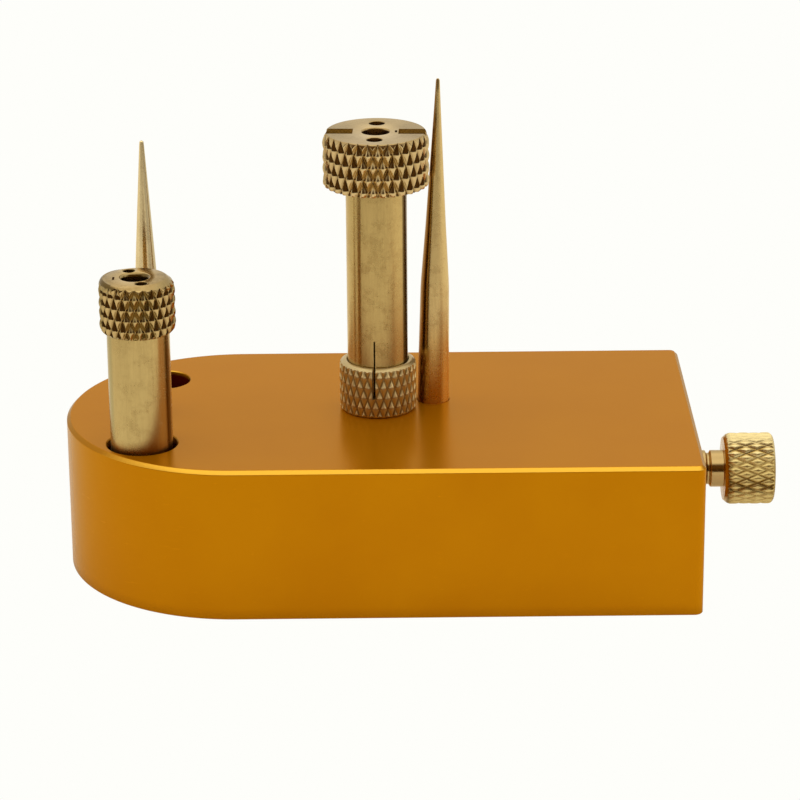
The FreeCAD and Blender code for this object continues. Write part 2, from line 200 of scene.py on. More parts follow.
def knurled_solid(k, low, high, limit, inner=None, m=8, low_end=0.5, high_end=0.5, ends=6, marks=()):
    """A knurled ring about Z. limit(s) is the radius that turning and chamfering leave at station s. inner is the rest
    of the profile, from the top rim inwards, down and out to the foot rim; without it the wall is left open."""
    teeth, row, start, phase = k["teeth"], k["row"], k["start"], k["phase"]
    n = teeth * 2 * m
    theta = phase + TAU * np.arange(n) / n
    step = row / m
    first = math.ceil((low + low_end - start) / step)
    last = math.floor((high - high_end - start) / step)
    s = list(np.linspace(low, start + first * step, ends, endpoint=False)) + [start + i * step for i in range(first, last + 1)]
    s += list(np.linspace(start + last * step, high, ends))[1:]
    s = np.array(sorted([x for x in s if all(abs(x - y) > 0.03 for y in marks)] + list(marks)))
    lim = np.array([limit(x) for x in s])
    crest = float(lim.max())

    def surface(u, z):
        return np.minimum(crest - groove_depth(u, (z - start) / (2 * row), k), np.interp(z, s, lim))

    steps = np.arange(n) / (2 * m)
    radius = surface(steps[:, None], s[None, :])
    rows = len(s)
    verts = [(r * math.cos(t), r * math.sin(t), z) for t, line in zip(theta, radius) for r, z in zip(line, s)]
    # each square of the grid is split along its crease
    nxt = np.roll(radius, -1, axis=0)
    ra, rb, rc, rd = radius[:, :-1], nxt[:, :-1], nxt[:, 1:], radius[:, 1:]
    mid = surface((steps + 0.25 / m)[:, None], ((s[1:] + s[:-1]) / 2)[None, :])
    first_way = np.abs((ra + rc) / 2 - mid) <= np.abs((rb + rd) / 2 - mid)
    flat = np.abs(ra + rc - rb - rd) < 1e-5
    faces = []
    for i in range(n):
        q = (i + 1) % n
        for j in range(rows - 1):
            a, b, c, d = i * rows + j, q * rows + j, q * rows + j + 1, i * rows + j + 1
            if flat[i, j]:
                faces.append((a, b, c, d))
            elif first_way[i, j]:
                faces += [(a, b, c), (a, c, d)]
            else:
                faces += [(a, b, d), (b, c, d)]
    top = [i * rows + rows - 1 for i in range(n)]
    foot = [i * rows for i in range(n)]
    if inner is None:
        return verts, faces, theta, top, foot
    previous, apex = top, None
    for r, z in inner:
        if r < 1e-9:
            new = len(verts)
            verts.append((0.0, 0.0, z))
            if previous is not None:
                for i in range(n):
                    faces.append((previous[i], previous[(i + 1) % n], new))
            previous, apex = None, new
            continue
        ring = list(range(len(verts), len(verts) + n))
        verts += [(r * math.cos(t), r * math.sin(t), z) for t in theta]
        for i in range(n):
            q = (i + 1) % n
            faces.append((apex, ring[q], ring[i]) if previous is None else (previous[i], previous[q], ring[q], ring[i]))
        previous = ring
    for i in range(n):
        q = (i + 1) % n
        faces.append((previous[i], previous[q], foot[q], foot[i]))
    return verts, outward(verts, faces)


# ---------------------------------------------------------------- material tools

class Nodes:
    """Short names for building a node tree."""

    def __init__(self, tree):
        self.tree = tree

    def add(self, kind, **values):
        node = self.tree.nodes.new(kind)
        for key, value in values.items():
            setattr(node, key, value)
        return node

    def link(self, a, b):
        self.tree.links.new(a, b)

    def put(self, socket, value):
        if isinstance(value, bpy.types.NodeSocket):
            self.tree.links.new(value, socket)
        else:
            socket.default_value = value

    def math(self, operation, a, b=0.0, c=0.0, clamp=False):
        n = self.add("ShaderNodeMath", operation=operation, use_clamp=clamp)
        for s, v in zip(n.inputs, (a, b, c)):
            self.put(s, v)
        return n.outputs[0]

    def vector(self, operation, a, b=(0, 0, 0)):
        n = self.add("ShaderNodeVectorMath", operation=operation)
        self.put(n.inputs[0], a)
        if operation == "SCALE":
            self.put(n.inputs["Scale"], b)
        else:
            self.put(n.inputs[1], b)
        return n.outputs["Value" if operation in ("LENGTH", "DOT_PRODUCT") else "Vector"]

    def map(self, value, a, b, c=0.0, d=1.0, kind="LINEAR"):
        n = self.add("ShaderNodeMapRange", interpolation_type=kind)
        for s, v in zip(n.inputs, (value, a, b, c, d)):
            self.put(s, v)
        return n.outputs[0]

    def noise(self, vector, scale, detail=2.0, rough=0.5, distortion=0.0):
        n = self.add("ShaderNodeTexNoise")
        self.put(n.inputs["Vector"], vector)
        n.inputs["Scale"].default_value = scale
        n.inputs["Detail"].default_value = detail
        n.inputs["Roughness"].default_value = rough
        n.inputs["Distortion"].default_value = distortion
        return n.outputs["Fac"]

    def mix(self, factor, a, b, blend="MIX"):
        n = self.add("ShaderNodeMix", data_type="RGBA", blend_type=blend)
        self.put(n.inputs["Factor"], factor)
        for name, v in (("A", a), ("B", b)):
            socket = [s for s in n.inputs if s.name == name and s.type == "RGBA"][0]
            self.put(socket, v)
        return [s for s in n.outputs if s.type == "RGBA"][0]

    def bump(self, height, strength, distance, normal=None):
        n = self.add("ShaderNodeBump")
        n.inputs["Strength"].default_value = strength
        n.inputs["Distance"].default_value = distance
        self.put(n.inputs["Height"], height)
        if normal is not None:
            self.put(n.inputs["Normal"], normal)
        return n.outputs["Normal"]


def new_material(name):
    material = bpy.data.materials.new(name)
    material.use_nodes = True
    tree = material.node_tree
    tree.nodes.clear()
    n = Nodes(tree)
    out = n.add("ShaderNodeOutputMaterial")
    shader = n.add("ShaderNodeBsdfPrincipled")
    n.link(shader.outputs[0], out.inputs[0])
    coord = n.add("ShaderNodeTexCoord").outputs["Object"]
    place = n.vector("SCALE", coord, 1000.0)   # millimetres
    return material, n, shader, place


def colour(r, g, b):
    return (r, g, b, 1.0)


BRASS = (0.50, 0.335, 0.115)
BRASS_DARK = (0.33, 0.19, 0.05)


def distance_from(n, sep, axes, centre):
    """Distance in millimetres from a line along the third axis."""
    a = n.math("SUBTRACT", sep.outputs[axes[0]], centre[0])
    b = n.math("SUBTRACT", sep.outputs[axes[1]], centre[1])
    return n.math("SQRT", n.math("ADD", n.math("MULTIPLY", a, a), n.math("MULTIPLY", b, b)))


def brass_material(name, base=BRASS, dark=BRASS_DARK, along="Z", rough=0.16, stain=0.25, streak=0.5, groove=None, cut=None, wear=0.05, face=None, walls=None, band=None, painted_side_shade=(), metallic=1.0, turned=0.0, hairs=0.12, polish=None, facing=None, foot=None, under=None, bright=None):
    """Bright brass: lengthwise draw lines, soft stains, and darker, duller metal in the grooves of a knurl; several of
    the other options paint light and shade into the colour.
    groove is (axes, centre, radius where it starts, radius where it is full, amount, colour), and cut is (axis, where
    the knurl ends, where it is full). face is (centre, colour, radius of the bore) of a turned top face with a painted
    sheen, brighter towards the front and back than towards the sides, and a painted highlight round the bore; walls is
    (their distance out along X, the channels' floor height, colour) of the channels' low walls, painted paler for how
    light falls in them. band is (start, end, axes, centre, colour), a painted dark reflection on the back edge of the
    screw's head. painted_side_shade holds upright strips of painted shade and reflection: (start, full, full, end) of
    the normal's X, a colour, and where it only lies on a shoulder the start and full of the normal's Z.
    polish is (axis, start, full, by how much smoother, colour), facing is (painted highlight colour of crests that face
    up a little, painted tone of what faces down a little, radius where the highlight starts, where it is full), foot is
    (height where it starts to fade, height where it is gone, amount, colour) of a painted reflection on the lower end,
    under is the painted shade colour of what faces down, and bright is (height where it starts, where it is full,
    colour) of a painted highlight along the upper side."""
    material, n, shader, place = new_material(name)
    sep = n.add("ShaderNodeSeparateXYZ")
    n.link(place, sep.inputs[0])
    # soft stains
    big = n.noise(place, 0.55, 3.0, 0.55)
    fine = n.noise(place, 2.6, 2.0, 0.5)
    stains = n.map(n.math("ADD", n.math("MULTIPLY", big, 0.65), n.math("MULTIPLY", fine, 0.35)), 0.42, 0.68, 0.0, 1.0, "SMOOTHSTEP")
    # streaks: noise drawn out lengthwise
    stretch = n.add("ShaderNodeMapping")
    n.link(place, stretch.inputs["Vector"])
    stretch.inputs["Scale"].default_value = (1.0, 1.0, 0.06) if along == "Z" else (0.06, 1.0, 1.0)
    lines = n.noise(stretch.outputs[0], 6.0, 3.0, 0.6)
    tone = n.math("MULTIPLY", n.map(lines, 0.35, 0.7), streak)
    metal = n.mix(n.math("MULTIPLY", stains, stain), colour(*base), colour(*dark))
    metal = n.mix(n.math("MULTIPLY", tone, 0.22), metal, colour(*dark))
    dirt = None
    if groove is not None:
        axes, centre, shallow, deep, amount, tint = groove
        patch = n.map(n.noise(place, 0.9, 2.0, 0.5), 0.3, 0.7, 0.7, 1.3)
        dirt = n.math("MULTIPLY", n.map(distance_from(n, sep, axes, centre), shallow, deep, 0.0, amount, "SMOOTHSTEP"), patch, clamp=True)
        if cut is not None:
            dirt = n.math("MULTIPLY", dirt, n.map(sep.outputs[cut[0]], cut[1], cut[2]))
        metal = n.mix(dirt, metal, colour(*tint))
    # painted sheen and highlight on a turned top face: brighter towards the front and back than the sides, and brighter
    # round the bore
    if face is not None:
        centre, tint, bore = face
        normal = n.add("ShaderNodeSeparateXYZ")
        n.link(n.add("ShaderNodeNewGeometry").outputs["True Normal"], normal.inputs[0])
        flat = n.map(normal.outputs["Z"], 0.9, 0.97)
        away = distance_from(n, sep, (0, 1), centre)
        dx = n.math("SUBTRACT", sep.outputs[0], centre[0])
        side = n.math("DIVIDE", n.math("MULTIPLY", dx, dx), n.math("MAXIMUM", n.math("MULTIPLY", away, away), 0.01))
        painted_bore_highlight = n.map(away, bore + 0.2, bore + 2.2, 1.0, 0.0, "SMOOTHSTEP")
        shade = n.math("ADD", n.math("SUBTRACT", 1.0, n.math("MULTIPLY", n.map(side, 0.15, 0.95, 0.0, 1.0, "SMOOTHSTEP"), 0.26)), n.math("MULTIPLY", painted_bore_highlight, 0.40))
        shade = n.math("SUBTRACT", shade, n.math("MULTIPLY", stains, stain))
        grey = n.add("ShaderNodeCombineColor")
        for k, power in enumerate((1.0, 1.05, 1.15)):
            n.put(grey.inputs[k], n.math("POWER", n.math("MAXIMUM", shade, 0.05), power))
        metal = n.mix(flat, metal, n.mix(1.0, colour(*tint), grey.outputs[0], "MULTIPLY"))
        if walls is not None:   # painted light: the low walls of the channels milled into the face get their own paler colour, set for how light falls in the channels
            wall = n.math("MULTIPLY", n.map(n.math("ABSOLUTE", normal.outputs["Y"]), 0.97, 0.99), n.map(n.math("ABSOLUTE", dx), walls[0] - 0.05, walls[0]))
            wall = n.math("MULTIPLY", wall, n.map(sep.outputs[2], walls[1], walls[1] + 0.02))
            metal = n.mix(wall, metal, colour(*walls[2]))
    # painted dark reflection: the back edge of the screw's head, near its rim, is darkened
    if band is not None:
        start, end, axes, centre, tint = band
        rim = n.math("MULTIPLY", n.map(sep.outputs[0], start, end, 1.0, 0.0), n.map(distance_from(n, sep, axes, centre), 2.6, 3.0))
        metal = n.mix(rim, metal, colour(*tint))
    if foot is not None:   # painted reflection and shade on the lower end, where the part goes into the block
        start, end, amount, tint = foot
        painted_foot_reflection = n.map(n.math("ADD", sep.outputs[2], n.math("MULTIPLY", lines, 1.6)), start, end, amount, 0.0, "SMOOTHSTEP")
        painted_foot_reflection = n.math("MULTIPLY", painted_foot_reflection, n.map(sep.outputs[2], 14.6, 15.9, 0.0, 1.0, "SMOOTHSTEP"))
        metal = n.mix(painted_foot_reflection, metal, colour(*tint))
    # painted shade and reflection: upright strips down one side of a part, picked by the direction of its normal
    if painted_side_shade:
        normal = n.add("ShaderNodeSeparateXYZ")
        n.link(n.add("ShaderNodeNewGeometry").outputs["Normal"], normal.inputs[0])
        for a, b, c, d, tint, *rise in painted_side_shade:
            strip = n.math("MULTIPLY", n.map(normal.outputs["X"], a, b, 0.0, 1.0, "SMOOTHSTEP"), n.map(normal.outputs["X"], c, d, 1.0, 0.0, "SMOOTHSTEP"))
            if rise:
                strip = n.math("MULTIPLY", strip, n.map(normal.outputs["Z"], rise[0], rise[1], 0.0, 1.0, "SMOOTHSTEP"))
            metal = n.mix(strip, metal, colour(*tint))
    if facing is not None:   # painted highlight on the knurl's upward crests and a painted tone on what faces down a little; only on the knurl, not the turned ring above it
        lean = n.add("ShaderNodeSeparateXYZ")
        n.link(n.add("ShaderNodeNewGeometry").outputs["Normal"], lean.inputs[0])
        above = n.math("MULTIPLY", n.map(lean.outputs["Z"], 0.02, 0.12, 0.0, 1.0, "SMOOTHSTEP"), n.map(lean.outputs["Z"], 0.35, 0.45, 1.0, 0.0))
        crest = n.map(distance_from(n, sep, (0, 1), POST), facing[2], facing[3], 0.0, 1.0, "SMOOTHSTEP")
        above = n.math("MULTIPLY", above, crest)
        metal = n.mix(n.math("MULTIPLY", above, n.map(n.noise(place, 1.3, 1.0, 0.5), 0.38, 0.62, 0.45, 1.0)), metal, colour(*facing[0]))
        metal = n.mix(n.map(lean.outputs["Z"], -0.03, -0.13, 0.0, 1.0, "SMOOTHSTEP"), metal, colour(*facing[1]))
    # painted highlight: the upper side is mixed half way to a paler colour
    if bright is not None:
        metal = n.mix(n.map(sep.outputs[2], bright[0], bright[1], 0.0, 1.0, "SMOOTHSTEP"), metal, n.mix(0.5, metal, colour(*bright[2])))
    # painted shade on what faces down
    if under is not None:
        below = n.add("ShaderNodeSeparateXYZ")
        n.link(n.add("ShaderNodeNewGeometry").outputs["Normal"], below.inputs[0])
        metal = n.mix(n.map(below.outputs["Z"], -0.30, -0.55, 0.0, 1.0, "SMOOTHSTEP"), metal, colour(*under))
    shader.inputs["Metallic"].default_value = metallic
    shader.inputs["Specular Tint"].default_value = colour(0.96, 0.90, 0.78)
    rubbed = n.math("ADD", n.math("MULTIPLY", stains, 0.06), n.math("ADD", n.math("MULTIPLY", lines, 0.08), rough - 0.05))
    if dirt is not None:
        rubbed = n.math("ADD", rubbed, n.math("MULTIPLY", dirt, wear))
    if polish is not None:
        metal = n.mix(n.map(sep.outputs[polish[0]], polish[1], polish[2]), metal, colour(*polish[4]))
        rubbed = n.math("SUBTRACT", rubbed, n.map(sep.outputs[polish[0]], polish[1], polish[2], 0.0, polish[3]))
    n.put(shader.inputs["Base Color"], metal)
    n.put(shader.inputs["Roughness"], rubbed)
    if turned:
        axis = n.add("ShaderNodeCombineXYZ")
        axis.inputs[2 if along == "Z" else 0].default_value = 1.0
        n.link(axis.outputs[0], shader.inputs["Tangent"])
        shader.inputs["Anisotropic"].default_value = turned
    if hairs:
        hair = n.noise(stretch.outputs[0], 40.0, 2.0, 0.6)
        n.put(shader.inputs["Normal"], n.bump(hair, hairs, 0.00001))
    return material


def block_material():
    """Gold anodised aluminium, satin, brushed lengthwise on its sides."""
    material, n, shader, place = new_material("anodised_gold")
    sep = n.add("ShaderNodeSeparateXYZ")
    n.link(place, sep.inputs[0])
    geometry = n.add("ShaderNodeNewGeometry")
    nz = n.add("ShaderNodeSeparateXYZ")
    n.link(geometry.outputs["True Normal"], nz.inputs[0])
    up = n.map(nz.outputs["Z"], 0.8, 0.95)
    stretch = n.add("ShaderNodeMapping")
    n.link(place, stretch.inputs["Vector"])
    stretch.inputs["Scale"].default_value = (0.05, 0.05, 1.6)
    brush = n.noise(stretch.outputs[0], 9.0, 4.0, 0.6)
    cloud = n.noise(place, 0.10, 3.0, 0.5)
    grain = n.noise(place, 14.0, 3.0, 0.6)
    body = n.mix(n.map(cloud, 0.35, 0.65), colour(0.56, 0.203, 0.0002), colour(0.59, 0.222, 0.0003))
    body = n.mix(n.math("MULTIPLY", n.map(brush, 0.3, 0.7), 0.03), body, colour(0.42, 0.14, 0.0005))
    body = n.mix(n.map(sep.outputs[2], 0.0, 1.4, 0.30, 0.0, "SMOOTHSTEP"), body, colour(0.25, 0.08, 0.0001))   # painted shade: darker towards the foot
    # painted shade: the top face is mixed half way to a darker, redder gold
    body = n.mix(up, body, n.mix(0.5, body, colour(0.455, 0.140, 0.0006)))
    # painted highlight and shade on the chamfer round the top: bright gold along the front, darker on the rest
    painted_chamfer_highlight = n.math("MULTIPLY", n.map(nz.outputs["Z"], 0.45, 0.6), n.map(nz.outputs["Z"], 0.8, 0.9, 1.0, 0.0))
    front = n.map(n.math("MULTIPLY", nz.outputs["Y"], -1.0), 0.46, 0.685)
    body = n.mix(painted_chamfer_highlight, body, n.mix(front, colour(0.42, 0.16, 0.006), colour(0.95, 0.50, 0.045)))
    # painted shade: a darker, redder colour down in the drilled holes
    for x, y, r, lip in ((-24.19, -9.50, 3.60, 15.55), (-23.06, 9.43, 2.81, 15.85)):
        deep = n.math("MULTIPLY", n.map(distance_from(n, sep, (0, 1), (x, y)), r + 0.09, r + 0.13, 1.0, 0.0), n.map(sep.outputs[2], lip - 0.3, lip, 1.0, 0.0))
        body = n.mix(deep, body, colour(0.17, 0.010, 0.003))
    n.put(shader.inputs["Base Color"], body)
    shader.inputs["Metallic"].default_value = 0.52
    shader.inputs["IOR"].default_value = 1.12
    shader.inputs["Specular Tint"].default_value = colour(0.73, 0.77, 0.55)
    side = n.math("SUBTRACT", 1.0, up)
    rough = n.math("ADD", n.math("MULTIPLY", n.math("MULTIPLY", brush, side), 0.04), n.math("ADD", n.math("MULTIPLY", grain, 0.02), 0.235))
    n.put(shader.inputs["Roughness"], rough)
    shader.inputs["Coat Weight"].default_value = 0.02
    shader.inputs["Coat Roughness"].default_value = 0.22
    shader.inputs["Coat IOR"].default_value = 1.5
    height = n.math("ADD", n.math("MULTIPLY", grain, 0.5), n.math("MULTIPLY", brush, n.math("MULTIPLY", side, 0.5)))
    n.put(shader.inputs["Normal"], n.bump(height, 0.025, 0.00002))
    return material


# ---------------------------------------------------------------- camera and light

def set_camera():
    yaw, pitch, roll = 0.00600884, 0.35229748, -0.00748486
    fwd = Vector((math.sin(yaw) * math.cos(pitch), math.cos(yaw) * math.cos(pitch), -math.sin(pitch)))
    right = Vector((math.cos(yaw), -math.sin(yaw), 0.0))
    up = right.cross(fwd)
    r = right * math.cos(roll) + up * math.sin(roll)
    u = -right * math.sin(roll) + up * math.cos(roll)
    data = bpy.data.cameras.new("photo_camera")
    data.sensor_fit = "HORIZONTAL"
    data.sensor_width = 36.0
    data.lens = 3388.911 / 800 * 36
    data.clip_start = 0.01
    data.clip_end = 20.0
    data.dof.use_dof = False
    cam = bpy.data.objects.new("photo_camera", data)
    bpy.context.scene.collection.objects.link(cam)
    place = Matrix.Identity(4)
    for i in range(3):
        place[i][0], place[i][1], place[i][2] = r[i], u[i], -fwd[i]
    place[0][3], place[1][3], place[2][3] = 0.1076e-3, -331.4933e-3, 138.8086e-3
    cam.matrix_world = place
    bpy.context.scene.camera = cam


SKY = [  # sine of the elevation, radiance
    (-1.0, 0.85), (-0.02, 0.90), (0.10, 0.90), (0.34, 0.93), (0.50, 1.05), (0.64, 1.15), (0.77, 1.40), (0.85, 1.55), (0.94, 1.55), (1.0, 1.40)]


def set_world():
    scene = bpy.context.scene
    scene.view_settings.view_transform = "Standard"
    scene.view_settings.look = "None"
    scene.view_settings.exposure = 0.0
    scene.view_settings.gamma = 1.0
    world = bpy.data.worlds.new("studio")
    scene.world = world
    world.use_nodes = True
    tree = world.node_tree
    tree.nodes.clear()
    n = Nodes(tree)
    out = n.add("ShaderNodeOutputWorld")
    direction = n.add("ShaderNodeTexCoord").outputs["Generated"]
    sep = n.add("ShaderNodeSeparateXYZ")
    n.link(direction, sep.inputs[0])
    x, y, z = sep.outputs
    ramp = n.add("ShaderNodeFloatCurve")
    curve = ramp.mapping.curves[0]
    top = 4.0
    points = [((s + 1) / 2, v / top) for s, v in SKY]
    curve.points[0].location = points[0]
    curve.points[-1].location = points[-1]
    for p in points[1:-1]:
        curve.points.new(*p)
    for p in curve.points:
        p.handle_type = "VECTOR"
    ramp.mapping.update()
    n.put(ramp.inputs["Value"], n.map(z, -1.0, 1.0))
    sky = n.math("MULTIPLY", ramp.outputs[0], top)
    # a low dark band in front: the room behind the camera
    flat = n.math("SQRT", n.math("ADD", n.math("MULTIPLY", x, x), n.math("MULTIPLY", y, y)))
    facing = n.math("DIVIDE", n.math("MULTIPLY", y, -1.0), n.math("MAXIMUM", flat, 0.001))
    near = n.map(facing, math.cos(math.radians(90)), math.cos(math.radians(50)), 0.0, 1.0, "SMOOTHSTEP")
    above = n.map(z, math.sin(math.radians(-12)), math.sin(math.radians(-5)), 0.0, 1.0, "SMOOTHSTEP")
    below = n.map(z, math.sin(math.radians(40)), math.sin(math.radians(54)), 1.0, 0.0, "SMOOTHSTEP")
    room = n.math("MULTIPLY", near, n.math("MULTIPLY", above, below))
    dim = n.mix(n.map(z, math.sin(math.radians(13)), math.sin(math.radians(22)), 0.0, 1.0, "SMOOTHSTEP"), colour(0.06, 0.028, 0.005), colour(0.15, 0.08, 0.022))
    lit = n.mix(1.0, colour(1.0, 0.995, 0.97), sky, "MULTIPLY")
    studio = n.add("ShaderNodeBackground")
    lit = n.mix(room, lit, dim)
    n.put(studio.inputs["Color"], lit)
    plain = n.add("ShaderNodeBackground")
    plain.inputs["Color"].default_value = (0.991, 0.991, 0.956, 1.0)
    ray = n.add("ShaderNodeLightPath")
    pick = n.add("ShaderNodeMixShader")
    n.link(ray.outputs["Is Camera Ray"], pick.inputs[0])
    n.link(studio.outputs[0], pick.inputs[1])
    n.link(plain.outputs[0], pick.inputs[2])
    n.link(pick.outputs[0], out.inputs[0])


def set_floor():
    """The table: a plain pale sheet, lit up so that it shows as the same white as what is behind it."""
    size = 900.0
    mesh = bpy.data.meshes.new("table")
    mesh.from_pydata([(-size * MM, -size * MM, 0), (size * MM, -size * MM, 0), (size * MM, size * MM, 0), (-size * MM, size * MM, 0)], [], [(0, 1, 2, 3)])
    floor = bpy.data.objects.new("table", mesh)
    bpy.context.scene.collection.objects.link(floor)
    material = bpy.data.materials.new("table_paper")
    material.use_nodes = True
    tree = material.node_tree
    tree.nodes.clear()
    n = Nodes(tree)
    out = n.add("ShaderNodeOutputMaterial")
    coord = n.add("ShaderNodeTexCoord").outputs["Object"]
    sep = n.add("ShaderNodeSeparateXYZ")
    n.link(coord, sep.inputs[0])
    fall = n.math("MULTIPLY", n.map(sep.outputs["Y"], -0.12, -0.40, 1.0, 0.08, "SMOOTHSTEP"), n.map(sep.outputs["X"], -0.16, -0.05, 0.72, 1.0, "SMOOTHSTEP"))
    paper = n.add("ShaderNodeBsdfDiffuse")
    n.put(paper.inputs["Color"], n.mix(1.0, colour(0.60, 0.59, 0.57), fall, "MULTIPLY"))
    glow = n.add("ShaderNodeEmission")
    n.put(glow.inputs["Color"], n.mix(1.0, colour(0.42, 0.415, 0.40), fall, "MULTIPLY"))
    sheet = n.add("ShaderNodeAddShader")
    n.link(paper.outputs[0], sheet.inputs[0])
    n.link(glow.outputs[0], sheet.inputs[1])
    white = n.add("ShaderNodeEmission")
    white.inputs["Color"].default_value = (0.991, 0.991, 0.956, 1.0)
    ray = n.add("ShaderNodeLightPath")
    pick = n.add("ShaderNodeMixShader")
    n.link(ray.outputs["Is Camera Ray"], pick.inputs[0])
    n.link(sheet.outputs[0], pick.inputs[1])
    n.link(white.outputs[0], pick.inputs[2])
    n.link(pick.outputs[0], out.inputs[0])
    mesh.materials.append(material)
    return floor


# ---------------------------------------------------------------- the block

BLOCK = {"left": -14.74, "right": 32.5, "half": 17.85, "high": 16.05, "bevel": 0.38, "foot": 0.10, "corner": 0.90}


def block_outline(inset, arc=96, corner=8):
    """The D outline, anticlockwise from above, moved in by inset."""
    r = BLOCK["half"] - inset
    pts = []
    for k in range(arc + 1):
        t = math.pi / 2 + math.pi * k / arc
        pts.append((BLOCK["left"] + r * math.cos(t), r * math.sin(t)))
    c = BLOCK["corner"]
    q = c - inset
    cx, cy = BLOCK["right"] - c, BLOCK["half"] - c
    for k in range(corner + 1):
        t = -math.pi / 2 + math.pi / 2 * k / corner
        pts.append((cx + q * math.cos(t), -cy + q * math.sin(t)))
    for k in range(corner + 1):
        t = math.pi / 2 * k / corner
        pts.append((cx + q * math.cos(t), cy + q * math.sin(t)))
    return pts


def plug(x, y, radius, top, bottom, mouth, n=96, tip=True, soft=False):
    """A cutter for a blind hole down from the top face, with a chamfered or rounded mouth."""
    over = 1.0
    loop = [(0.0, bottom - (0.5 * radius if tip else 0.0)), (radius, bottom)]
    if soft:   # a rounded lip
        loop += [(radius + mouth - mouth * math.cos(t), top - mouth + mouth * math.sin(t)) for t in np.linspace(0, math.pi / 2, 6)]
        loop += [(radius + mouth, top + over), (0.0, top + over)]
    elif mouth:
        loop += [(radius, top - mouth), (radius + mouth, top), (radius + mouth + over, top + over), (0.0, top + over)]
    else:
        loop += [(radius, top + over), (0.0, top + over)]
    verts, faces = lathe(loop, n, closed=False)
    return shifted(verts, x, y), outward(verts, faces)


def make_block(material):
    h = BLOCK["high"]
    soft = 0.05
    section = round_corners([(BLOCK["foot"] + 3.0, 0.0), (BLOCK["foot"], 0.0), (0.0, BLOCK["foot"]), (0.0, h - BLOCK["bevel"]), (BLOCK["bevel"], h), (BLOCK["bevel"] + 3.0, h)], soft, 3)[1:-1]
    verts, faces = [], []
    rings = []
    for inset, z in section:
        ring = []
        for x, y in block_outline(inset):
            ring.append(len(verts))
            verts.append((x, y, z))
        rings.append(ring)
    n = len(rings[0])
    for a, b in zip(rings, rings[1:]):
        for i in range(n):
            k = (i + 1) % n
            faces.append((a[i], a[k], b[k], b[i]))
    faces.append(tuple(reversed(rings[0])))
    faces.append(tuple(rings[-1]))
    faces = outward(verts, faces)
    block = make_piece("block", verts, faces, "root", "base_block", material, sharp=30)
    cuts = []
    for name, x, y, r, depth, mouth in (
        ("front_hole", -24.19, -9.50, 3.60, 12.0, 0.11), ("spare_hole", -23.06, 9.43, 2.81, 12.0, 0.08),
        ("work_bore", -0.17, 0.60, 3.20, 11.0, 0.15), ("tack_hole_a", 5.60, 2.75, 1.67, 4.5, 0.07), ("tack_hole_b", -23.90, 0.0, 1.67, 4.5, 0.07)):
        v, f = plug(x, y, r, h, h - depth, mouth)
        cuts.append(cutter(name, v, f))
    # tapped end hole and the pin's bore, along X
    loop = [(0.0, 2.0), (1.60, 2.6), (1.60, 18.5), (2.0, 18.9), (2.0, 32.25), (2.25, 32.5), (3.0, 33.25), (0.0, 33.25)]
    v, f = lathe(loop, 64, closed=False)
    v = [(z, 0.60 - yy, 8.72 + xx) for xx, yy, z in v]
    cuts.append(cutter("end_bore", v, outward(v, f)))
    carve(block, cuts, sharp=30)
    return block


# ---------------------------------------------------------------- posts

POST = (-0.17, 0.60)
SLIM = (-24.21, -9.45)


def slit_box(angle, width, r_in, r_out, low, high):
    """A thin upright cutter through the wall, at an angle from +X."""
    c, s = math.cos(angle), math.sin(angle)
    pts = []
    for z in (low, high):
        for r, o in ((r_in, -width / 2), (r_out, -width / 2), (r_out, width / 2), (r_in, width / 2)):
            pts.append((r * c - o * s, r * s + o * c, z))
    faces = [(3, 2, 1, 0), (4, 5, 6, 7), (0, 1, 5, 4), (1, 2, 6, 5), (2, 3, 7, 6), (3, 0, 4, 7)]
    return pts, faces


SLIT_ANGLE = math.radians(-90 - 6.3)


def make_main_tube(material):
    loop = round_corners([(2.5, 5.05), (3.13, 5.05), (3.13, 43.28), (2.5, 43.28)], 0.08, 2)
    loop = [(2.0, 5.05)] + loop + [(2.0, 43.28)]
    verts, faces = lathe(loop, 192)
    verts = shifted(verts, *POST)
    tube = make_piece("tall_post", verts, outward(verts, faces), "main_post", "main_post_tube", material)
    pts, f = slit_box(SLIT_ANGLE, 0.16, 1.0, 4.2, 4.0, 24.25)
    pts = shifted(pts, *POST)
    carve(tube, [cutter("slit", pts, outward(pts, f))])
    return tube


HEAD = {"teeth": 31, "row": 1.30, "deep": 0.42, "land": 0.0, "crest": 0.46, "soft": 0.18, "blend": 0.05, "phase": math.radians(-90 + 2.3), "start": 44.58}
COLLAR = {"teeth": 29, "row": 1.11, "deep": 0.21, "land": 0.06, "crest": 0.5, "soft": 0.3, "blend": 0.10, "phase": math.radians(-90 + 2.2), "start": 18.25}
CAP = {"teeth": 24, "row": 1.13, "deep": 0.39, "land": 0.0, "crest": 0.46, "soft": 0.18, "blend": 0.05, "phase": math.radians(-90 - 0.2), "start": 32.43}
SCREW = {"teeth": 25, "row": 1.15, "deep": 0.24, "land": 0.16, "crest": 0.6, "soft": 0.25, "blend": 0.06, "phase": math.radians(1.1), "start": 39.33}


def turned(table):
    zs, rs = [p[0] for p in table], [p[1] for p in table]
    return lambda z: float(np.interp(z, zs, rs))


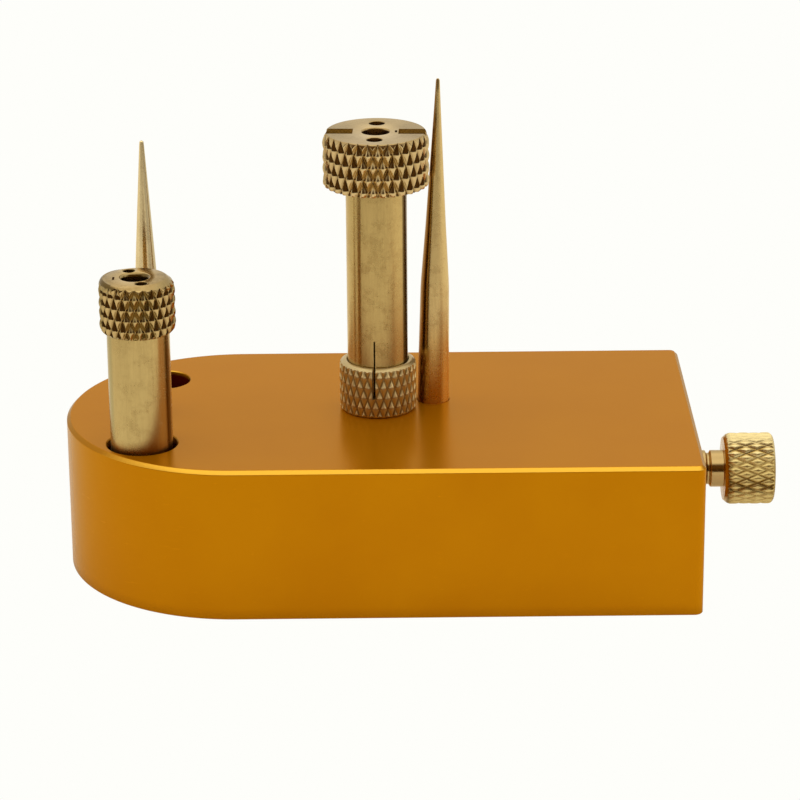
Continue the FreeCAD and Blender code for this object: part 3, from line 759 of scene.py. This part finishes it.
def make_main_head(material):
    low, high = 40.28, 45.79
    table = [(low, 5.28), (40.34, 5.35), (40.42, 5.41), (40.52, 5.45), (44.70, 5.45), (45.10, 5.38), (45.62, 5.18), (45.75, 5.10), (high, 5.05)]
    inner = [(1.57 - 0.20 * math.sin(t), high - 0.20 + 0.20 * math.cos(t)) for t in np.linspace(0, math.pi / 2, 6)] + [(1.37, 43.28), (3.13, 43.28), (3.13, low)]
    verts, faces = knurled_solid(HEAD, low, high, turned(table), inner, m=10, low_end=0.1, high_end=0.1, ends=3, marks=(40.34, 40.42, 40.52, 45.10, 45.62, 45.75))
    verts = shifted(verts, *POST)
    head = make_piece("tall_post_head", verts, faces, "main_post", "main_post_head", material, sharp=30)
    cuts = []
    turn = math.radians(-2.4)
    for sign in (-1, 1):
        # two round holes, front and back
        a = math.radians(90) * sign + turn
        v, f = plug(POST[0] + 3.1 * math.cos(a), POST[1] + 3.1 * math.sin(a), 0.80, high, high - 1.8, 0.10, 48, tip=False, soft=True)
        cuts.append(cutter("eye", v, f))
        # two channels, left and right, out through the rim
        a = (0 if sign > 0 else math.pi) + turn
        c, s = math.cos(a), math.sin(a)
        w = 0.93
        pts = [(r * c - o * s, r * s + o * c, z) for r in (2.33, 6.2) for o, z in ((-w, high - 0.5), (w, high - 0.5), (w, high + 0.5), (-w, high + 0.5))]
        f = [(3, 2, 1, 0), (4, 5, 6, 7)] + [(i, (i + 1) % 4, 4 + (i + 1) % 4, 4 + i) for i in range(4)]
        pts = shifted(pts, *POST)
        cuts.append(cutter("channel", pts, outward(pts, f)))
    pts, f = slit_box(turn + math.pi / 2, 0.24, -0.38, 0.38, high - 0.5, high + 0.5)
    pts = shifted(pts, POST[0] + 2.08 * math.cos(turn), POST[1] + 2.08 * math.sin(turn))
    cuts.append(cutter("prick", pts, outward(pts, f)))
    carve(head, cuts, sharp=30, weighted=False)
    return head


def make_collar(material):
    low, high = 16.05, 21.42
    table = [(low, 3.67), (16.38, 4.0), (20.98, 4.0), (21.10, 3.93), (21.36, 3.60), (high, 3.48)]
    inner = [(3.27, high - 0.01), (3.22, high - 0.06), (3.22, high - 0.4), (3.16, high - 0.4), (3.16, low)]
    verts, faces = knurled_solid(COLLAR, low, high, turned(table), inner, low_end=0.1, high_end=0.15, ends=3, marks=(16.38, 20.98, 21.10, 21.36))
    verts = shifted(verts, *POST)
    collar = make_piece("collar", verts, faces, "post_collar", "main_post_collar", material, sharp=30)
    pts, f = slit_box(SLIT_ANGLE, 0.34, 2.5, 4.6, 18.2, 22.0)
    pts = shifted(pts, *POST)
    carve(collar, [cutter("slit", pts, outward(pts, f))], sharp=30, weighted=False)
    return collar


def make_slim_tube(material):
    loop = round_corners([(2.5, 4.05), (3.17, 4.05), (3.17, 31.23), (2.5, 31.23)], 0.10, 2)
    loop = [(2.0, 4.05)] + loop + [(2.0, 31.23)]
    verts, faces = lathe(loop, 192)
    verts = shifted(verts, *SLIM)
    tube = make_piece("slim_post", verts, outward(verts, faces), "slim_post", "slim_post_tube", material)
    harden(tube)
    return tube


def worn_shoulder(x, y, z, limit):
    """The cap's shoulder is turned a little fuller on its left than on its right, and the knurl stops lower there."""
    r = math.hypot(x, y)
    if r < 2.95 or z < 32.70:
        return x, y, z
    side = -x / r
    fill = min(1.0, (z - 32.70) / 0.60)
    fill = fill * fill * (3.0 - 2.0 * fill) * min(1.0, max(0.0, (side - 0.20) / 0.60))
    wide = r + (limit(z) - r) * fill if r > 3.2 and limit(z) > r else r
    lean = 0.0
    if z > 32.90:
        part = min((z - 32.90) / 0.25, (33.78 - z) / 0.20, 1.0)
        lean = part * (0.20 if side > 0.0 else 0.13) * side * min(1.0, (33.77 - z) / 0.21)
    return x * wide / r, y * wide / r, z + lean


def make_slim_cap(material):
    low, high = 28.23, 33.78
    table = [(28.23, 3.50), (28.45, 3.71), (28.70, 3.85), (32.85, 3.85), (33.13, 3.77), (33.45, 3.56), (33.66, 3.22), (33.75, 3.02), (33.78, 2.93)]
    # a solid head; the bore is cut afterwards, because it is a little off the axis
    inner = [(0.0, high), (0.0, 31.23), (3.17, 31.23), (3.17, low)]
    verts, faces = knurled_solid(CAP, low, high, turned(table), inner, m=10, low_end=0.1, high_end=0.1, ends=3, marks=(28.70, 32.85, 33.13, 33.45, 33.66, 33.75))
    verts = [worn_shoulder(x, y, z, turned(table)) for x, y, z in verts]
    verts = shifted(verts, *SLIM)
    cap = make_piece("slim_post_cap", verts, faces, "slim_post", "slim_post_cap", material, sharp=30)
    cuts = []
    v, f = plug(SLIM[0] - 0.18, SLIM[1], 1.30, high, 30.0, 0.36, 64, tip=False, soft=True)
    cuts.append(cutter("bore", v, f))
    turn = math.radians(16.2)
    for sign in (-1, 1):
        a = math.radians(90) * sign + turn + (math.radians(7) if sign > 0 else 0.0)
        v, f = plug(SLIM[0] + 2.2 * math.cos(a), SLIM[1] + 2.2 * math.sin(a), 0.58, high, high - 1.5, 0.10, 48, tip=False, soft=True)
        cuts.append(cutter("eye", v, f))
    pts, f = slit_box(math.pi / 2, 0.22, -0.45, 0.45, high - 0.3, high + 0.5)
    pts = shifted(pts, SLIM[0] - 2.26, SLIM[1] - 0.45)
    cuts.append(cutter("prick", pts, outward(pts, f)))
    carve(cap, cuts, sharp=30, weighted=False)
    return cap


# ---------------------------------------------------------------- tacks

def make_tack(name, node, profile, foot, lean, material):
    """A tapered tack: (height above the block's top, radius), with its shank in the block."""
    loop = [(0.0, -4.3), (1.55, -4.3), (1.65, -4.2)] + [(r, z) for z, r in profile]
    verts, faces = lathe(loop, 96, closed=False)
    c, s = math.cos(lean), math.sin(lean)
    verts = [(x * c + z * s + foot[0], y + foot[1], -x * s + z * c + foot[2]) for x, y, z in verts]
    obj = make_piece(name, verts, outward(verts, faces), "root", node, material, sharp=30)
    return obj


RIGHT_TACK = [(0.4, 1.65), (4.45, 1.60), (8.45, 1.54), (12.3, 1.48), (13.4, 1.43), (19.1, 1.054), (26.95, 0.61), (31.15, 0.37), (33.15, 0.262), (34.47, 0.195), (34.62, 0.12), (34.66, 0.0)]
REAR_TACK = [(4.5, 1.65), (6.3, 1.60), (16.1, 1.036), (20.6, 0.76), (28.66, 0.249), (29.05, 0.205), (29.19, 0.0)]


# ---------------------------------------------------------------- thumb screw

def make_screw(material):
    """Knurled head, plain neck, relief groove and a cut thread, along X."""
    low, high = 36.0, 41.23
    table = [(36.0, 3.30), (36.35, 3.60), (36.7, 3.75), (40.75, 3.75), (40.95, 3.69), (41.15, 3.50), (high, 3.36)]
    verts, faces, theta, end, foot = knurled_solid(SCREW, low, high, turned(table), low_end=0.1, high_end=0.1, ends=3, marks=(36.35, 36.7, 40.75, 40.95, 41.15))
    n = len(theta)

    def ring(r, x, every=1):
        start = len(verts)
        for t in theta[::every]:
            verts.append((r * math.cos(t), r * math.sin(t), x))
        return list(range(start, start + n // every))

    def join(a, b):
        for i in range(len(a)):
            k = (i + 1) % len(a)
            faces.append((a[i], a[k], b[k], b[i]))

    for r in (2.6, 1.2):
        new = ring(r, high)
        join(end, new)
        end = new
    verts.append((0.0, 0.0, high))
    for i in range(n):
        faces.append((end[i], end[(i + 1) % n], len(verts) - 1))
    # back of the head, neck and relief
    neck = round_corners([(3.30, 36.0), (1.94, 36.0), (1.94, 34.66), (1.66, 34.50), (1.66, 34.28), (1.94, 34.10), (1.94, 33.5)], 0.06, 3)[1:]
    previous = foot
    for r, x in neck:
        new = ring(r, x)
        join(new, previous)
        previous = new
    # thread, from the relief down to the tip, with a quarter of the points round
    every = 4
    coarse = ring(1.94, 33.44, every)
    for i in range(len(coarse)):
        k = (i + 1) % len(coarse)
        fine = [previous[(i * every + j) % n] for j in range(every + 1)]
        for j in range(every):
            faces.append((coarse[i] if j < every // 2 else coarse[k], fine[j + 1], fine[j]))
        faces.append((coarse[i], coarse[k], fine[every // 2]))
    previous = coarse
    pitch, parts = 0.7, 12
    for x in np.arange(33.44 - pitch / parts, 20.55, -pitch / parts):
        fade = min(1.0, max(0.0, (33.44 - x) / 0.5)) * min(1.0, max(0.0, (x - 20.5) / 0.3))
        new = []
        for t in theta[::every]:
            q = (x / pitch - t / TAU) % 1.0
            cut = min(1.0, max(0.0, (1 - abs(2 * q - 1) - 0.12) / 0.76))
            r = 1.94 - 0.37 * cut * fade
            new.append(len(verts))
            verts.append((r * math.cos(t), r * math.sin(t), x))
        join(new, previous)
        previous = new
    for r, x in ((1.85, 20.45), (1.45, 20.02)):
        new = ring(r, x, every)
        join(new, previous)
        previous = new
    verts.append((0.0, 0.0, 20.0))
    for i in range(len(previous)):
        faces.append((previous[(i + 1) % len(previous)], previous[i], len(verts) - 1))
    # the part was built along Z: turn it to lie along X
    placed = [(z, 0.60 - y, 8.72 + x) for x, y, z in verts]
    return make_piece("screw", placed, outward(placed, faces), "screw", "thumb_screw", material, sharp=30)


def main():
    set_camera()
    set_world()
    set_floor()
    gold = block_material()
    tall = brass_material("brass_tall_tube", base=(0.57, 0.40, 0.14), rough=0.25, turned=0.9, stain=0.15, streak=0.7, hairs=0.03, painted_side_shade=((0.81, 0.88, 0.99, 1.0, (0.12, 0.068, 0.016)),))
    slim = brass_material("brass_slim_tube", base=(0.56, 0.40, 0.145), rough=0.24, turned=0.85, stain=0.15, streak=0.7, hairs=0.03, painted_side_shade=((0.84, 0.90, 0.95, 0.99, (0.17, 0.095, 0.022)), (-1.1, -1.05, -0.88, -0.76, (0.40, 0.31, 0.115))), foot=(16.6, 18.2, 0.75, (0.30, 0.12, 0.015)))
    head = brass_material("brass_head", base=(0.60, 0.43, 0.19), rough=0.17, stain=0.12, streak=0.12, groove=((0, 1), POST, 5.27, 5.04, 0.45, (0.16, 0.08, 0.012)), face=(POST, (0.50, 0.36, 0.17), 1.37), walls=(2.33, 45.27, (0.61, 0.485, 0.235)), painted_side_shade=((0.80, 0.90, 1.05, 1.1, (0.42, 0.34, 0.18)),), under=(0.36, 0.31, 0.15))
    cap = brass_material("brass_cap", base=(0.55, 0.385, 0.155), rough=0.17, stain=0.3, streak=0.15, groove=((0, 1), SLIM, 3.68, 3.47, 0.5, (0.14, 0.07, 0.012)), face=((SLIM[0] - 0.18, SLIM[1]), (0.45, 0.31, 0.13), 1.30), painted_side_shade=((-1.1, -1.05, -0.55, -0.15, (0.37, 0.26, 0.095)), (0.30, 0.6, 0.70, 0.85, (0.42, 0.29, 0.11)), (0.70, 0.85, 1.05, 1.1, (0.27, 0.22, 0.10)), (-1.1, -1.05, -0.42, -0.14, (0.13, 0.08, 0.024), 0.22, 0.45), (0.15, 0.50, 1.05, 1.1, (0.33, 0.23, 0.09), 0.30, 0.50)), under=(0.32, 0.27, 0.13))
    pale = brass_material("brass_collar", base=(0.55, 0.41, 0.18), rough=0.30, stain=0.10, streak=0.1, groove=((0, 1), POST, 3.965, 3.84, 1.0, (0.29, 0.175, 0.045)), cut=(2, 21.05, 20.9), wear=0.0, metallic=0.62, facing=((1.0, 0.83, 0.40), (0.60, 0.45, 0.15), 3.86, 3.92))
    taper = brass_material("brass_tack", base=(0.64, 0.455, 0.18), rough=0.26, streak=0.5, foot=(19.0, 27.0, 0.75, (0.90, 0.56, 0.14)), hairs=0.0, stain=0.15, painted_side_shade=((-1.1, -1.05, -0.70, -0.48, (0.30, 0.135, 0.024)),), turned=0.7)
    taper_rear = brass_material("brass_tack_rear", base=(0.94, 0.74, 0.38), rough=0.24, turned=0.85, hairs=0.02, stain=0.15, painted_side_shade=((0.20, 0.50, 1.05, 1.1, (0.52, 0.42, 0.23)),))
    bright = brass_material("brass_screw", base=(0.62, 0.465, 0.17), rough=0.38, along="X", stain=0.12, streak=0.15, groove=((1, 2), (0.60, 8.72), 3.67, 3.53, 0.75, (0.25, 0.145, 0.035)), cut=(0, 36.3, 36.5), wear=-0.15, bright=(10.3, 11.6, (0.88, 0.73, 0.37)), polish=(0, 36.4, 36.2, 0.20, (0.46, 0.31, 0.12)), band=(36.35, 36.75, (1, 2), (0.60, 8.72), (0.20, 0.12, 0.03)))
    plain = brass_material("brass_pin", base=(0.50, 0.34, 0.12), rough=0.22, along="X")
    make_block(gold)
    make_main_tube(tall)
    make_main_head(head)
    make_collar(pale)
    make_slim_tube(slim)
    make_slim_cap(cap)
    make_tack("right_taper", "right_tack", RIGHT_TACK, (5.60, 2.75, 16.05), math.radians(1.0), taper)
    make_tack("rear_taper", "rear_tack", REAR_TACK, (-23.90, 0.0, 16.05), 0.0, taper_rear)
    make_screw(bright)
    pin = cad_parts["clamp_pin"]
    pin.data.materials.clear()
    pin.data.materials.append(plain)


main()
